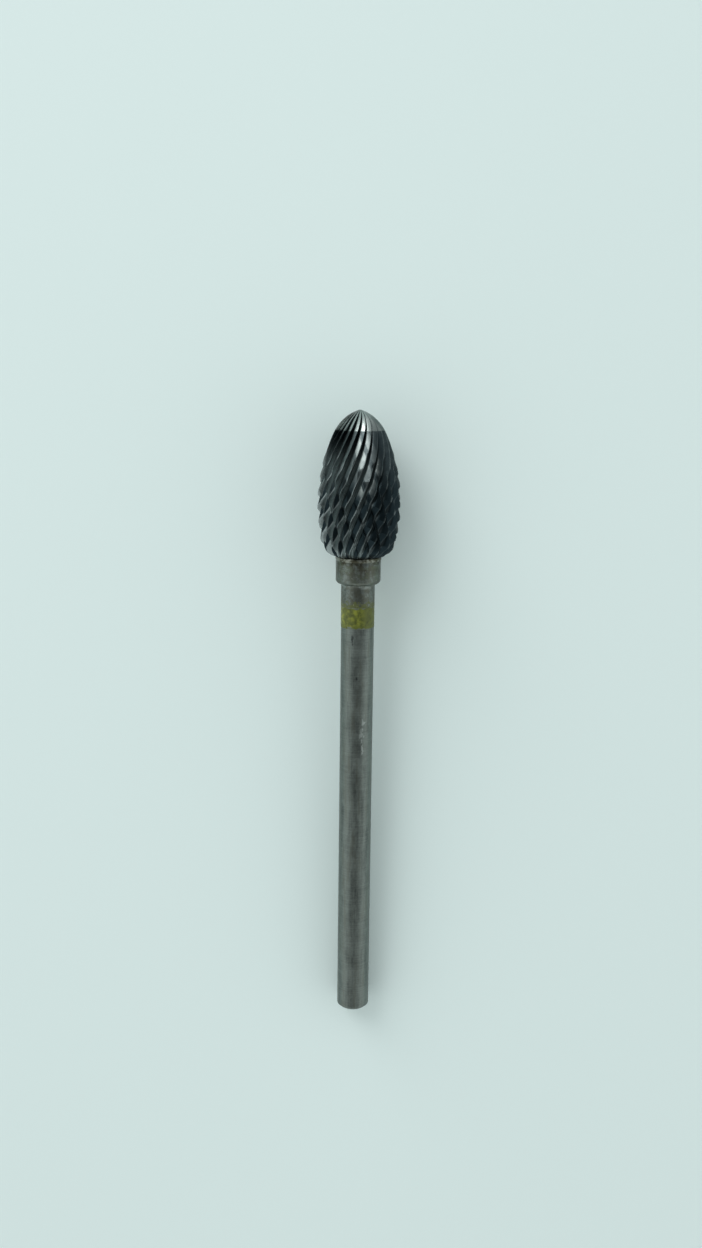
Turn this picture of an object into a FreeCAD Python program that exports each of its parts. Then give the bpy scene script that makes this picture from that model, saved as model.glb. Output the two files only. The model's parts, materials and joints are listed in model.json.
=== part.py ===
# A cross-cut carbide burr for a rotary handpiece, lying on a table the way it comes to rest.
#
# The ground steel shank ends in a turned collar. An egg-shaped carbide head with a ground nose is
# brazed onto the collar's flat top, and a coat of paint round the shank, below a short neck,
# marks how fine the cut is. Right-hand spiral flutes make the head's teeth, and shallower
# left-hand spiral grooves break them into short cutting edges.
#
# Each piece is modelled upright on the burr's own axis, with the shank's tail face or the piece's
# lower face at height 0. The rest placement then lays the burr down: +Y runs from the tail to the
# nose, +Z is up, and the origin is on the table below the middle of the burr.
# Lengths are in millimetres and angles in degrees.

import FreeCAD, Part
import math
import os
import Sketcher
from FreeCAD import Placement, Rotation, Vector

SIZES = (
    ("overall_length", 44.5, "tail face to nose"),
    ("shank_dia", 2.35, "ground shank, as the handpiece's chuck takes it"),
    ("tail_chamfer", 0.2, "chamfer round the tail face"),
    ("neck_dia", 2.39, "turned neck between the band and the collar"),
    ("neck_length", 1.6, "free length of the neck"),
    ("neck_fillet", 0.12, "fillet where the neck meets the collar"),
    ("collar_dia", 3.17, "collar that carries the head"),
    ("collar_length", 1.8, "collar, from the neck to its flat top"),
    ("collar_round", 0.3, "rounding of the collar's lower edge"),
    ("seat_chamfer", 0.14, "chamfer round the collar's top, filled by the braze"),
    ("braze_gap", 0.1, "braze between the collar and the head"),
    ("bead_swell", 0.035, "how far the braze bead stands out from the collar"),
    ("band_length", 1.54, "painted band along the shank"),
    ("band_coat", 0.015, "thickness of the paint"),
    ("head_dia", 5.82, "head at its widest"),
    ("head_length", 10.2, "head, from its seat to the nose"),
    ("belly_height", 3.7, "widest place, above the seat"),
    ("heel_height", 1.1, "where the heel begins to round in, above the seat"),
    ("heel_dia", 5.3, "head across the top of the heel"),
    ("seat_dia", 3.3, "head across its seat"),
    ("nose_length", 1.4, "separately ground nose"),
    ("nose_dia", 3.42, "head across the base of the nose"),
    ("nose_arc", 2.9, "radius of the nose's outline"),
    ("nose_dot", 0.03, "flat left on the nose, as a height"),
    ("flute_count", 22, "right-hand spiral flutes"),
    ("flute_lead", 40, "height of one full turn of a flute"),
    ("flute_depth", 0.45, "flute at the widest place, less where the head is narrower"),
    ("land_relief", 0.22, "how far the land behind a crest falls away, at the widest place"),
    ("breaker_count", 15, "left-hand spiral chip-breaker grooves"),
    ("breaker_lead", 43, "height of one full turn of a chip-breaker groove"),
    ("breaker_depth", 0.4, "chip-breaker groove at the widest place, less where it is narrower"),
    ("breaker_width", 1.0, "chip-breaker groove across its mouth, at the widest place"),
    ("breaker_start", 2.3, "plain teeth before the grooves begin, from the nose"),
    ("breaker_ramp", 4.5, "length over which a groove reaches its depth"),
)

# One tooth in cross-section: how far ahead of its crest each corner lies, as a share of the
# pitch. The gullet's flat floor runs between the first two corners after the crest.
CREST = 0.0
RAKE_FOOT = 0.08
GULLET_END = 0.2
LAND_START = 0.5

# Stretches of the head's outline and of the grooves, each drawn through this many steps.
NOSE_STEPS = 4
BODY_STEPS = 6
HEEL_STEPS = 4
RAMP_STEPS = 4
GROOVE_STEPS = 3

# The chip-breaker cutter: how far it stands out of the head, as a share of the groove's depth, and
# how far it runs past the seat, as a share of the heel's height.
CUTTER_STANDS_OUT = 0.12
CUTTER_RUNS_PAST = 0.03

AXIS = Vector(0, 0, 1)
ORIGIN = Vector(0, 0, 0)
DOWN_WHEN_LYING = 90.0
SAME_PLACE = 1e-6

doc = FreeCAD.newDocument("burr")


def make_sheet():
    """The driving dimensions, one cell each, named by an alias."""
    sheet = doc.addObject("Spreadsheet::Sheet", "Sizes")
    for row, (alias, value, meaning) in enumerate(SIZES, start=1):
        sheet.set(f"A{row}", alias)
        sheet.set(f"B{row}", str(value))
        sheet.setAlias(f"B{row}", alias)
        sheet.set(f"C{row}", meaning)
    doc.recompute()
    return sheet


def bound(formula):
    """A formula in the sheet's aliases, written as an expression of the document."""
    words = formula.split()
    aliases = {alias for alias, _, _ in SIZES}
    return " ".join(f"<<Sizes>>.{word}" if word in aliases else word for word in words)


def turned_body(label, corners):
    """A body turned from a closed outline. Each corner is a radius and a height, as formulas."""
    body = doc.addObject("PartDesign::Body", label)
    body.Label = label
    plane = next(f for f in body.Origin.OriginFeatures if f.Role == "XZ_Plane")
    sketch = body.newObject("Sketcher::SketchObject", label + "_outline")
    sketch.AttachmentSupport = [(plane, "")]
    sketch.MapMode = "FlatFace"
    count = len(corners)
    # Any places will do here, because the constraints below set them all.
    rough = [Vector(1 + step, count + step * step, 0) for step in range(count)]
    for step in range(count):
        sketch.addGeometry(Part.LineSegment(rough[step], rough[(step + 1) % count]), False)
    for step in range(count):
        sketch.addConstraint(Sketcher.Constraint("Coincident", step, 2, (step + 1) % count, 1))
    for step, (radius, height) in enumerate(corners):
        place_corner(sketch, step, "DistanceX", radius, -2)
        place_corner(sketch, step, "DistanceY", height, -1)
    turned = body.newObject("PartDesign::Revolution", label + "_turned")
    turned.Profile = sketch
    turned.ReferenceAxis = (sketch, ["V_Axis"])
    turned.Angle = 360
    doc.recompute()
    return body


def place_corner(sketch, line, direction, formula, axis):
    """Holds a line's first point at a formula's distance from the origin, or on the axis if 0."""
    if formula == "0":
        sketch.addConstraint(Sketcher.Constraint("PointOnObject", line, 1, axis))
        return
    made = sketch.addConstraint(Sketcher.Constraint(direction, -1, 1, line, 1, 1.0))
    sketch.setExpression(f"Constraints[{made}]", bound(formula))


def circles_at(feature, radius, height):
    """Names of a feature's circular edges of one radius at one height."""
    names = []
    for number, edge in enumerate(feature.Shape.Edges, start=1):
        curve = edge.Curve
        if isinstance(curve, Part.Circle) and abs(curve.Radius - radius) < SAME_PLACE:
            if abs(curve.Center.z - height) < SAME_PLACE:
                names.append(f"Edge{number}")
    return names


def rounded(body, label, radius, height, formula):
    """Rounds the edge of one radius at one height, by the size that the formula gives."""
    base = body.Tip
    fillet = body.newObject("PartDesign::Fillet", label)
    fillet.Base = (base, circles_at(base, radius, height))
    fillet.setExpression("Radius", bound(formula))
    body.Tip = fillet
    doc.recompute()


def make_shank(size):
    """Ground shank, neck and collar, turned from one piece of steel."""
    top = "overall_length - head_length - braze_gap"
    collar_foot = top + " - collar_length"
    neck_foot = collar_foot + " - neck_length"
    body = turned_body(
        "shank",
        [
            ("0", "0"),
            ("shank_dia / 2 - tail_chamfer", "0"),
            ("shank_dia / 2", "tail_chamfer"),
            ("shank_dia / 2", neck_foot),
            ("neck_dia / 2", neck_foot),
            ("neck_dia / 2", collar_foot),
            ("collar_dia / 2", collar_foot),
            ("collar_dia / 2", top + " - seat_chamfer"),
            ("collar_dia / 2 - seat_chamfer", top),
            ("0", top),
        ],
    )
    foot = collar_top(size) - size.collar_length
    rounded(body, "collar_edge", size.collar_dia / 2, foot, "collar_round")
    rounded(body, "neck_root", size.neck_dia / 2, foot, "neck_fillet")
    return body


def collar_top(size):
    """Height of the collar's flat top above the tail face."""
    return size.overall_length - size.head_length - size.braze_gap


def make_braze(size):
    """The braze: a thin disc under the head, and a bead that fills the collar's chamfer."""
    bead = "collar_dia / 2 + bead_swell"
    body = turned_body(
        "braze_joint",
        [
            ("0", "seat_chamfer"),
            ("collar_dia / 2 - seat_chamfer", "seat_chamfer"),
            ("collar_dia / 2", "0"),
            (bead, "seat_chamfer / 2"),
            (bead, "seat_chamfer"),
            ("collar_dia / 2", "seat_chamfer + braze_gap"),
            ("0", "seat_chamfer + braze_gap"),
        ],
    )
    rounded(body, "bead_top", size.collar_dia / 2 + size.bead_swell, size.seat_chamfer, "bead_swell")
    return body


def make_band():
    """The coat of paint round the shank, thinning out at both edges."""
    return turned_body(
        "colour_band",
        [
            ("shank_dia / 2", "0"),
            ("shank_dia / 2 + band_coat", "band_coat"),
            ("shank_dia / 2 + band_coat", "band_length - band_coat"),
            ("shank_dia / 2", "band_length"),
        ],
    )


class HeadOutline:
    """Half of the head's outline: the radius over the crests at each height above the seat."""

    def __init__(self, size):
        self.seat = size.seat_dia / 2
        self.heel = size.heel_dia / 2
        self.belly = size.head_dia / 2
        self.heel_height = size.heel_height
        self.belly_height = size.belly_height
        self.nose_base = size.head_length - size.nose_length
        self.length = size.head_length
        self.front_arc = self.arc_off_belly(self.nose_base, size.nose_dia / 2)
        self.back_arc = self.arc_off_belly(size.heel_height, self.heel)
        self.nose_arc = size.nose_arc
        self.nose_middle = self.find_nose_middle(size.nose_dia / 2)
        self.heel_arc, self.heel_middle = self.find_heel_arc()

    def arc_off_belly(self, height, radius):
        """Radius of the arc that is square to the belly's circle and passes one more place."""
        along = height - self.belly_height
        inwards = self.belly - radius
        return (along**2 + inwards**2) / (2 * inwards)

    def find_nose_middle(self, base_radius):
        """Centre of the nose's arc, which joins the nose's base to the axis."""
        rise = self.length - self.nose_base
        chord = math.hypot(rise, base_radius)
        off = math.sqrt(self.nose_arc**2 - (chord / 2) ** 2)
        height = self.nose_base + rise / 2 - off * base_radius / chord
        return height, base_radius / 2 - off * rise / chord

    def find_heel_arc(self):
        """Arc that carries on from the back smoothly and ends at the seat."""
        slope = math.asin((self.belly_height - self.heel_height) / self.back_arc)
        inward = (math.sin(slope), -math.cos(slope))
        to_seat = (-self.heel_height, self.seat - self.heel)
        dip = 2 * (to_seat[0] * inward[0] + to_seat[1] * inward[1])
        radius = (to_seat[0] ** 2 + to_seat[1] ** 2) / dip
        return radius, (self.heel_height + radius * inward[0], self.heel + radius * inward[1])

    def radius(self, height):
        """Radius over the crests."""
        if height > self.nose_base:
            middle, off_axis = self.nose_middle
            return off_axis + math.sqrt(self.nose_arc**2 - (height - middle) ** 2)
        if height > self.heel_height:
            arc = self.front_arc if height > self.belly_height else self.back_arc
            return self.belly - arc + math.sqrt(arc**2 - (height - self.belly_height) ** 2)
        middle, off_axis = self.heel_middle
        return off_axis + math.sqrt(self.heel_arc**2 - (height - middle) ** 2)


def steps_between(low, high, count):
    """Evenly spaced values from low to high, both included."""
    return [low + (high - low) * step / count for step in range(count + 1)]


def spiral_point(radius, height, turn):
    """A point at an angle in degrees round the axis."""
    angle = math.radians(turn)
    return Vector(radius * math.cos(angle), radius * math.sin(angle), height)


def spline_edge(points):
    """A smooth edge through all the points."""
    curve = Part.BSplineCurve()
    curve.interpolate(points)
    return curve.toShape()


def closed_solid(faces):
    """One solid from the faces that close it."""
    shell = Part.makeShell(faces)
    shell.sewShape()
    solid = Part.Solid(shell)
    if solid.Volume < 0:
        solid.reverse()
    return solid


def tooth_corners(size):
    """Corners of one tooth from its crest to the next: share of the pitch, share of the radius."""
    full = size.flute_depth / (size.head_dia / 2)
    relief = size.land_relief / (size.head_dia / 2)
    return [
        (CREST, 1.0),
        (RAKE_FOOT, 1.0 - full),
        (GULLET_END, 1.0 - full),
        (LAND_START, 1.0 - relief),
    ]


def head_turn(size, contact_height):
    """Turn of the first crest at the seat that puts the table midway between two crests."""
    pitch = 360.0 / size.flute_count
    return DOWN_WHEN_LYING - pitch / 2 - 360.0 * contact_height / size.flute_lead


def breaker_turn(size, contact_height):
    """Turn of the first groove at the seat that puts the table midway between two grooves."""
    pitch = 360.0 / size.breaker_count
    return DOWN_WHEN_LYING - pitch / 2 + 360.0 * contact_height / size.breaker_lead


def make_toothed_blank(size, outline, first_turn):
    """The head with its spiral flutes, before the chip breakers are cut."""
    pitch = 360.0 / size.flute_count
    corners = tooth_corners(size)
    nose_top = size.head_length - size.nose_dot
    heel = steps_between(0, size.heel_height, HEEL_STEPS)
    body = steps_between(size.heel_height, outline.nose_base, BODY_STEPS)
    nose = steps_between(outline.nose_base, nose_top, NOSE_STEPS)

    def corner(height, share, scale):
        turn = first_turn + share * pitch + 360.0 * height / size.flute_lead
        return spiral_point(outline.radius(height) * scale, height, turn)

    def tooth_faces(heights):
        ends = corners + [(1.0, 1.0)]
        edges = [spline_edge([corner(h, share, scale) for h in heights]) for share, scale in ends]
        return [Part.makeRuledSurface(low, high) for low, high in zip(edges, edges[1:])]

    def star_face(height):
        around = [
            corner(height, tooth + share, scale)
            for tooth in range(int(size.flute_count))
            for share, scale in corners
        ]
        return Part.Face(Part.makePolygon(around + around[:1]))

    faces = [star_face(0), star_face(nose_top)]
    for strip in tooth_faces(heel + body[1:]) + tooth_faces(nose):
        for tooth in range(int(size.flute_count)):
            copy = strip.copy()
            copy.rotate(ORIGIN, AXIS, tooth * pitch)
            faces.append(copy)
    return closed_solid(faces)


def make_breaker(size, outline, first_turn):
    """One cutter along a left-hand spiral, running out past the heel.

    Its section is a V from the groove's floor to an edge on each side, and its back stands clear
    of the crests between the edges."""
    start = size.head_length - size.breaker_start
    full = start - size.breaker_ramp
    heights = steps_between(start, full, RAMP_STEPS)
    heights += steps_between(full, size.heel_height, GROOVE_STEPS)[1:]
    heights += steps_between(size.heel_height, 0, HEEL_STEPS)[1:]
    heights.append(-CUTTER_RUNS_PAST * size.heel_height)
    depth = size.breaker_depth / outline.belly
    reach = CUTTER_STANDS_OUT * depth
    mouth = math.degrees(size.breaker_width / 2 / outline.belly) * (1 + CUTTER_STANDS_OUT)

    def along(side, scale_at):
        points = []
        for height in heights:
            turn = first_turn - 360.0 * height / size.breaker_lead
            points.append(spiral_point(outline.radius(height) * scale_at(height), height, turn + side))
        return points

    def floor(height):
        share = min((start - height) / size.breaker_ramp, 1.0)
        return 1 + reach / 2 - share * (depth + reach / 2)

    def edge(height):
        return 1 + reach

    def back(height):
        return (1 + 2 * reach) / math.cos(math.radians(mouth))

    lines = [along(0, floor), along(-mouth, edge), along(0, back), along(mouth, edge)]
    edges = [spline_edge(points) for points in lines]
    faces = [Part.makeRuledSurface(edges[side - 1], edges[side]) for side in range(len(edges))]
    for end in (0, -1):
        ring = [points[end] for points in lines]
        faces.append(Part.Face(Part.makePolygon(ring + ring[:1])))
    return closed_solid(faces)


def make_head(size, outline, contact_height):
    """The carbide head: the toothed blank less its chip-breaker grooves."""
    blank = doc.addObject("Part::Feature", "toothed_blank")
    blank.Shape = make_toothed_blank(size, outline, head_turn(size, contact_height))
    breaker = make_breaker(size, outline, breaker_turn(size, contact_height))
    cutters = []
    for groove in range(int(size.breaker_count)):
        copy = breaker.copy()
        copy.rotate(ORIGIN, AXIS, groove * 360.0 / size.breaker_count)
        cutters.append(copy)
    grooves = doc.addObject("Part::Feature", "chip_breakers")
    grooves.Shape = Part.makeCompound(cutters)
    head = doc.addObject("Part::Cut", "cutting_head")
    head.Label = "cutting_head"
    head.Base = blank
    head.Tool = grooves
    return head


def crest_gap(size, outline):
    """How far inside the outline the table runs when two neighbouring crests carry the head."""
    twist = 2 * math.pi / size.flute_lead
    along = 1 / outline.back_arc
    across = outline.belly * twist**2
    return (math.pi / size.flute_count / twist) ** 2 * along * across / (along + across) / 2


def find_rest(size, outline):
    """How the burr lies: its slope, and the height above the head's seat that touches the table.

    The table touches the tail's edge and the back of the head, so it is the tangent from the
    tail's edge to the arc of the back, less the gap that the two crests leave."""
    seat = size.overall_length - size.head_length
    middle = (seat + size.belly_height, outline.belly - outline.back_arc - crest_gap(size, outline))
    tail = (size.tail_chamfer, size.shank_dia / 2)
    away = math.hypot(middle[0] - tail[0], tail[1] - middle[1])
    to_tail = math.atan2(tail[1] - middle[1], middle[0] - tail[0])
    normal = to_tail + math.acos(outline.back_arc / away)
    slope = math.pi / 2 - normal
    return slope, size.belly_height - outline.back_arc * math.sin(slope)


def rest_placement(size, slope):
    """Lays the burr on the table, with the middle of its length over the origin."""
    nose = (size.overall_length - size.nose_dot) * math.cos(slope)
    tail = -(size.shank_dia / 2 - size.tail_chamfer) * math.sin(slope)
    lift = size.shank_dia / 2 * math.cos(slope) - size.tail_chamfer * math.sin(slope)
    turn = Rotation(Vector(1, 0, 0), math.degrees(slope) - 90)
    return Placement(Vector(0, -(nose + tail) / 2, lift), turn)


def raised(height):
    """A place up the burr's axis."""
    return Placement(Vector(0, 0, height), Rotation())


def check(parts):
    """Stops the build if an object failed or a piece isn't one sound solid."""
    doc.recompute()
    failed = [o.Label for o in doc.Objects if "Invalid" in o.State or "Error" in o.State]
    if failed:
        raise RuntimeError(f"these objects failed: {failed}")
    for part in parts:
        if part.Shape.isNull() or not part.Shape.isValid() or len(part.Shape.Solids) != 1:
            raise RuntimeError(f"{part.Label} isn't one sound solid")


def main():
    size = make_sheet()
    outline = HeadOutline(size)
    slope, contact_height = find_rest(size, outline)
    lying = rest_placement(size, slope)
    top = collar_top(size)

    shank = make_shank(size)
    shank.Placement = lying
    braze = make_braze(size)
    braze.Placement = lying * raised(top - size.seat_chamfer)
    band = make_band()
    band_top = top - size.collar_length - size.neck_length
    band.Placement = lying * raised(band_top - size.band_length)
    head = make_head(size, outline, contact_height)
    head.Placement = lying * raised(top + size.braze_gap)

    parts = [shank, braze, band, head]
    check(parts)
    os.makedirs("parts", exist_ok=True)
    for part in parts:
        part.Shape.exportStep(f"parts/{part.Label}.step")
        box = part.Shape.BoundBox
        print(part.Label, round(part.Shape.Volume, 4), "mm3, lowest", round(box.ZMin, 4))
    print("slope", round(math.degrees(slope), 4), "head touches at", round(contact_height, 3))


main()
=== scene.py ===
"""A cross-cut carbide burr for a small handpiece, lying on a pale floor under soft light."""

import json
import math

import bpy
from mathutils import Matrix, Vector


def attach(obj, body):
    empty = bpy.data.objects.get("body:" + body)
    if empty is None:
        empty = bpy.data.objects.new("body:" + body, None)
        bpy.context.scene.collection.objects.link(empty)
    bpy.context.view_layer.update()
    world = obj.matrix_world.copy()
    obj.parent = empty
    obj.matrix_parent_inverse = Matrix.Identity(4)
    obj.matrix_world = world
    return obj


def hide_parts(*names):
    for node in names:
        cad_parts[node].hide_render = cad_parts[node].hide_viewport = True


bl_info = {
    "name": "Carbide burr",
    "version": (1, 0, 0),
    "blender": (4, 5, 0),
    "location": "View3D > Sidebar > Burr",
    "description": "Models the visible surfaces of a cross-cut carbide burr over its solids",
    "category": "Add Mesh",
}

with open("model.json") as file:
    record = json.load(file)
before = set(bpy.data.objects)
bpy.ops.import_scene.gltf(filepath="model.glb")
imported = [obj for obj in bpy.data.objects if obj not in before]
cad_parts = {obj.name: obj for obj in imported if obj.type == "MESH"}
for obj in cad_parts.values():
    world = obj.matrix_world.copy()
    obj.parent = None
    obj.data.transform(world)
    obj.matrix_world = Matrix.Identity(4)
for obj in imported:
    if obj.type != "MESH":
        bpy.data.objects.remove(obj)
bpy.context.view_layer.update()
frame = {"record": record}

# The burr is modelled upright in millimetres, with the middle of its tail face at the origin and
# its nose up, and is then laid down where the solids are.
MM = 0.001
SHANK_MOUNT = frame["record"]["mounts"][0]
TO_TAIL = Vector(SHANK_MOUNT["axis"]).normalized()
SHANK_RADIUS = SHANK_MOUNT["dims"]["r_mm"]
TAIL_CHAMFER = 0.2
NECK_FOOT = TAIL_CHAMFER + SHANK_MOUNT["dims"]["length_mm"]
TAIL = Vector(SHANK_MOUNT["pos_m"]) + TO_TAIL * (NECK_FOOT + TAIL_CHAMFER) / 2 * MM
SLOPE = math.asin(-TO_TAIL.z)
LYING = Matrix.Translation(TAIL) @ Matrix.Rotation(SLOPE - math.pi / 2, 4, "X")
LYING_IN_MM = LYING @ Matrix.Scale(MM, 4)

# Heights up the burr from its tail.
COLLAR_FOOT = 32.4
COLLAR_TOP = 34.2
HEAD_SEAT = 34.3

# Radii, chamfers and roundings of the turned part.
NECK_RADIUS = 1.195
NECK_FILLET = 0.12
COLLAR_RADIUS = 1.585
COLLAR_ROUND = 0.3
SEAT_CHAMFER = 0.14
EDGE_ROUND = 0.05

# The braze bead's profile: heights above the collar's chamfer, and how far it stands out of the
# collar. What lies beyond the rim's radius swells unevenly, in waves of a size and a number round
# the bead, from a first turn. The waves and a level are added up and made a share of the radius.
BEAD_PROFILE = ((0.0, 0.0), (0.03, 0.021), (0.08, 0.035), (0.15, 0.035), (0.20, 0.025), (0.24, 0.0))
BEAD_RIM = 1.60
BEAD_WAVES = ((0.6, 3, 1.0), (0.5, 7, 0.0), (0.3, 13, 0.0))
BEAD_LEVEL = -0.6
BEAD_SWELL = 0.006

# The head's outline, as heights above its seat and radii over the crests.
SEAT_RADIUS = 1.65
HEEL_HEIGHT = 1.1
HEEL_RADIUS = 2.65
BELLY_HEIGHT = 3.7
BELLY_RADIUS = 2.91
NOSE_HEIGHT = 8.8
NOSE_RADIUS = 1.71
NOSE_ARC = 2.9
HEAD_LENGTH = 10.2
NOSE_DOT = 0.03

# The floor touches the head at this height above its seat.
TOUCH_HEIGHT = 3.0985

# Depths of a flute and of the fall of the land behind a crest, at the widest place, and what is
# left of the outline's radius there.
FLUTE_DEPTH = 0.45
LAND_RELIEF = 0.22
FLUTE_FLOOR = 1 - FLUTE_DEPTH / BELLY_RADIUS
LAND_FOOT = 1 - LAND_RELIEF / BELLY_RADIUS

# One tooth in cross-section, from its crest to the next: the share of the pitch, and the share of
# the outline's radius. The rake face drops to a short floor, and the back rises in two slopes.
TOOTH_CORNERS = ((0.0, 1.0), (0.08, FLUTE_FLOOR), (0.20, FLUTE_FLOOR), (0.50, LAND_FOOT), (1.0, 1.0))
# Points from crest to crest, the reach of the corners' rounding, and where the flute's middle is,
# both as shares of the pitch.
TOOTH_POINTS = 24
TOOTH_ROUNDING = 0.035
FLUTE_MIDDLE = 0.17

# How far a chip breaker's cutter stands out of the head, as a share of the groove's depth, and how
# far it reaches below the head's seat.
STANDS_OUT = 0.12
BELOW_SEAT = 0.033

# The patch on the upper side where painted highlights lie on the teeth's backs: its middle and half
# lengths, in the upright burr's millimetres.
PAINTED_HIGHLIGHT_PATCH = (0.40, -2.4, 41.0)
PAINTED_HIGHLIGHT_SIZE = (1.1, 1.8, 2.9)

# The nose was ground by itself. Half the width of the edge of that grinding.
NOSE_EDGE = 0.04

# Tones of the stains, films and specks on the carbide and the steel, and of the painted shade under the
# head.
DUST = (0.22, 0.25, 0.24)
OLIVE_FILM = (0.105, 0.125, 0.085)
BARE_SPECKS = (0.26, 0.28, 0.25)
# Colour of the painted shade under the head's rim.
PAINTED_SHADE_UNDER_HEAD = (0.030, 0.027, 0.020)
POLISHED_RING = (0.27, 0.30, 0.28)
PAINT_FLECKS = (0.36, 0.38, 0.30)
DARK_STAIN = (0.022, 0.026, 0.028)
SCUFF = (0.50, 0.55, 0.53)

# Marks on the shank's upper side: a place and half lengths in the upright burr's millimetres, how
# strong and how ragged the mark is, and its colour. A dark stain and a speck, and pale scuffs.
STEEL_MARKS = (
    ((-0.36, -1.1, 28.55), (0.10, 0.8, 0.42), 0.65, 0.3, DARK_STAIN),
    ((-0.02, -1.1, 25.70), (0.07, 0.8, 0.14), 0.65, 0.3, DARK_STAIN),
    ((0.46, -1.0, 22.45), (0.12, 0.8, 0.40), 0.40, 0.9, SCUFF),
    ((0.36, -1.0, 21.60), (0.15, 0.8, 0.42), 0.32, 0.9, SCUFF),
    ((0.46, -1.0, 20.45), (0.08, 0.8, 0.36), 0.36, 0.9, SCUFF),
)

# The floor's radius, the room's tint, and the softbox: its place, width and height, and what it
# faces, in metres.
FLOOR_RADIUS = 3.0
ROOM_TINT = (0.94, 1.0, 0.99)
SOFTBOX_PLACE = (-0.22, 0.32, 0.19)
SOFTBOX_SIZE = (0.22, 0.34)
SOFTBOX_AIM = (0.0, 0.012, 0.003)


class BurrSizes(bpy.types.PropertyGroup):
    """Sizes of the cutting head's teeth and grooves, and of the painted band."""

    flutes: bpy.props.IntProperty(
        name="Flutes", description="Right-hand spiral flutes round the head", default=22, min=6
    )
    flute_lead: bpy.props.FloatProperty(
        name="Flute lead",
        description="Height of one full turn of a flute",
        default=0.040,
        unit="LENGTH",
    )
    breakers: bpy.props.IntProperty(
        name="Chip breakers", description="Left-hand spiral grooves round the head", default=15, min=1
    )
    breaker_lead: bpy.props.FloatProperty(
        name="Breaker lead",
        description="Height of one full turn of a chip-breaker groove",
        default=0.043,
        unit="LENGTH",
    )
    breaker_depth: bpy.props.FloatProperty(
        name="Breaker depth",
        description="Depth of a chip-breaker groove at the widest place",
        default=0.00040,
        precision=5,
        unit="LENGTH",
    )
    breaker_width: bpy.props.FloatProperty(
        name="Breaker width",
        description="Width of a chip-breaker groove at the widest place",
        default=0.00100,
        precision=5,
        unit="LENGTH",
    )
    breaker_start: bpy.props.FloatProperty(
        name="Breaker start",
        description="Plain teeth before the grooves begin, from the nose",
        default=0.0023,
        unit="LENGTH",
    )
    breaker_ramp: bpy.props.FloatProperty(
        name="Breaker ramp",
        description="Length over which a chip-breaker groove reaches its depth",
        default=0.0045,
        unit="LENGTH",
    )
    band_length: bpy.props.FloatProperty(
        name="Band length",
        description="Length of the painted band along the shank",
        default=0.00154,
        precision=5,
        unit="LENGTH",
    )
    paint: bpy.props.FloatProperty(
        name="Paint thickness",
        description="Thickness of the band's paint",
        default=0.000015,
        precision=6,
        unit="LENGTH",
    )


class BurrColours(bpy.types.PropertyGroup):
    """Colours of the burr's surfaces."""

    steel: bpy.props.FloatVectorProperty(
        name="Steel",
        description="Ground steel of the shank and the collar",
        subtype="COLOR",
        size=3,
        default=(0.150, 0.172, 0.160),
    )
    stain: bpy.props.FloatVectorProperty(
        name="Heat stain",
        description="Brown stain that the brazing left on the collar",
        subtype="COLOR",
        size=3,
        default=(0.068, 0.066, 0.046),
    )
    braze: bpy.props.FloatVectorProperty(
        name="Braze",
        description="Dull silver braze",
        subtype="COLOR",
        size=3,
        default=(0.210, 0.220, 0.190),
    )
    paint: bpy.props.FloatVectorProperty(
        name="Band paint",
        description="Olive yellow paint of the band",
        subtype="COLOR",
        size=3,
        default=(0.096, 0.113, 0.017),
    )
    # Its blotches are weighted towards the band's left side, partly as painted light.
    fresh_paint: bpy.props.FloatVectorProperty(
        name="Fresh paint",
        description="Thicker, brighter paint in the band's blotches",
        subtype="COLOR",
        size=3,
        default=(0.225, 0.240, 0.030),
    )
    # Also the colour of the painted highlights on the teeth's backs towards the nose.
    crest: bpy.props.FloatVectorProperty(
        name="Tooth crests",
        description="Ground carbide along the crests of the teeth",
        subtype="COLOR",
        size=3,
        default=(0.140, 0.166, 0.168),
    )
    # The teeth's colour wherever no brighter colour is given; darker than the tips partly as painted
    # shade in the gullets.
    gullet: bpy.props.FloatVectorProperty(
        name="Gullets",
        description="Dark carbide in the gullets and the grooves",
        subtype="COLOR",
        size=3,
        default=(0.013, 0.021, 0.025),
    )
    # A painted highlight colour: the flutes and rake faces take it towards the heel and on the left,
    # where the light from the left shows in them.
    flute: bpy.props.FloatVectorProperty(
        name="Flutes",
        description="Brighter ground carbide of the flutes and the rake faces",
        subtype="COLOR",
        size=3,
        default=(0.275, 0.318, 0.318),
    )
    # Also the colour of the painted highlights on the teeth's backs.
    nose: bpy.props.FloatVectorProperty(
        name="Nose",
        description="Bright, separately ground nose",
        subtype="COLOR",
        size=3,
        default=(0.350, 0.390, 0.378),
    )


class BurrStage(bpy.types.PropertyGroup):
    """Floor, light and camera."""

    floor: bpy.props.FloatVectorProperty(
        name="Floor",
        description="Pale floor under the burr",
        subtype="COLOR",
        size=3,
        default=(0.800, 0.915, 0.905),
    )
    room: bpy.props.FloatProperty(
        name="Room light", description="Level of the soft light from all round", default=1.1
    )
    overhead: bpy.props.FloatProperty(
        name="Overhead light", description="Level of the dimmer light from overhead", default=0.26
    )
    backdrop: bpy.props.FloatProperty(
        name="Backdrop", description="Level of the room behind the floor's edge", default=0.8
    )
    softbox: bpy.props.FloatProperty(
        name="Softbox",
        description="Power of the lamp beyond the nose, on the left",
        default=0.72,
        unit="POWER",
    )


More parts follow.
